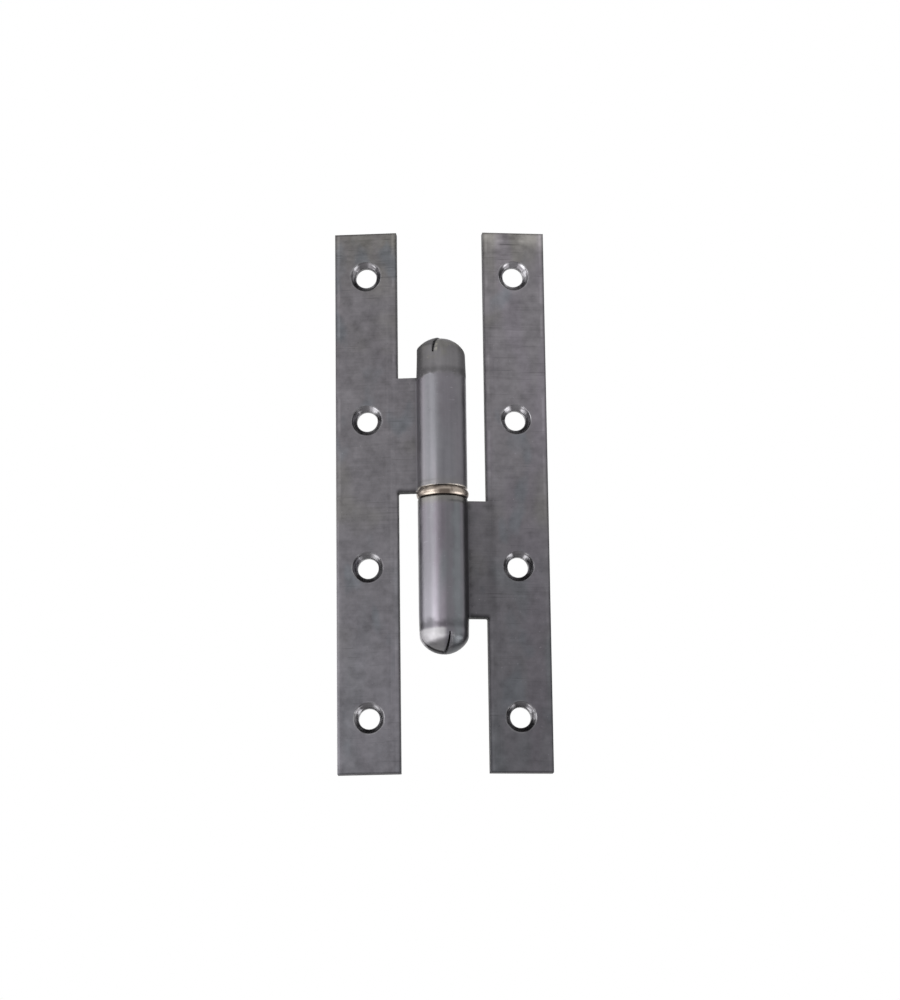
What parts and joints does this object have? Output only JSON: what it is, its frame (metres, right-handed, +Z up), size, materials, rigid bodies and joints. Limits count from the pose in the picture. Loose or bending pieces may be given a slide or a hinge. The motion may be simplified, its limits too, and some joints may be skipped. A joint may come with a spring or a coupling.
{
  "type": "lift-off hinge",
  "caption": "Steel lift-off hinge with two long strip leaves, rolled knuckles with pressed-in domed ends, a fixed pin and a brass washer between the knuckles.",
  "frame": {"origin": "on the pin axis, at the middle of the washer's thickness", "axes": "+Z up the pin, the way the door leaf lifts off. +X from the pin towards the fixed leaf's strip, parallel to its faces. -Y is the side with the countersinks."},
  "size_m": [0.0535, 0.0154, 0.14],
  "materials": {
    "fixed_steel": "raw rolled steel, faintly mottled",
    "door_steel": "raw rolled steel, faintly mottled",
    "pin_steel": "turned steel",
    "washer_brass": "pale polished brass"
  },
  "bodies": {
    "fixed_side": {"fixed_leaf": "fixed_steel", "pin": "pin_steel"},
    "washer": {"washer": "washer_brass"},
    "door_side": {"door_leaf": "door_steel"}
  },
  "joints": [
    {"name": "swing", "type": "hinge", "parent": "fixed_side", "child": "washer", "pos_m": [0, 0, 0], "axis": [0, 0, 1], "range_deg": [-131, 195]},
    {"name": "lift_off", "type": "slide", "parent": "washer", "child": "door_side", "axis": [0, 0, 1], "range_m": [0, 0.032]}
  ]
}
